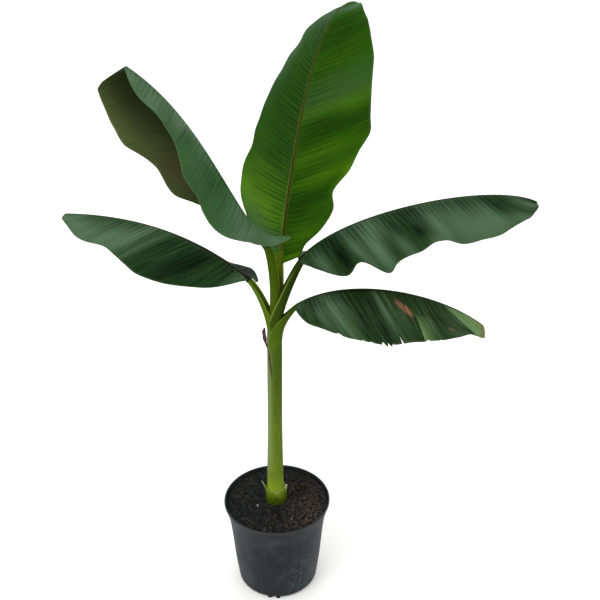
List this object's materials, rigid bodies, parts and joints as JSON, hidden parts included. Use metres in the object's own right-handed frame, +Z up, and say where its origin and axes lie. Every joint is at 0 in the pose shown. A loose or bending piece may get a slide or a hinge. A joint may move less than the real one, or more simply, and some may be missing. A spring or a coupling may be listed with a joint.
{
  "type": "potted banana plant",
  "caption": "Young banana plant in a round nursery pot: smooth upright green stem and large arching paddle leaves with a strong midrib.",
  "frame": {"origin": "centre of the pot's flat underside, on the surface it stands on", "axes": "+Z up along the stem, +X towards the plant's right as seen from the front, +Y towards its back"},
  "size_m": [0.8436, 0.4212, 1.0997],
  "materials": {
    "pot": "matt dark grey-blue moulded plastic, faint upright streaks and scuffs",
    "soil": "loose dark potting compost with bark chips and fibres",
    "stem": "smooth satin green sheaths, lighter at the foot",
    "sheath_stub": "cut sheath, olive green with a pale dry edge",
    "dry_sheath": "dead papery sheath, purple brown",
    "midrib": "satin pale olive with a brown channel",
    "leaf": "satin deep green with a grey-green bloom, finely pleated along the veins",
    "leaf_bright": "satin bright yellow-green, finely pleated along the veins"
  },
  "bodies": {
    "root": {"pot": "pot", "soil": "soil", "stem": "stem", "collar": "sheath_stub", "dry_sheath": "dry_sheath", "petiole_1": "stem", "petiole_2": "stem", "petiole_3": "stem", "petiole_4": "stem", "petiole_5": "stem", "midrib_1": "midrib", "midrib_2": "midrib", "midrib_3": "midrib", "midrib_4": "midrib", "midrib_5": "midrib", "blade_1_left": "leaf", "blade_1_right": "leaf", "blade_2_left": "leaf", "blade_2_right": "leaf", "blade_3_left": "leaf", "blade_3_right": "leaf", "blade_4_left": "leaf", "blade_4_right": "leaf", "blade_5_left": "leaf_bright", "blade_5_right": "leaf_bright"}
  },
  "joints": []
}
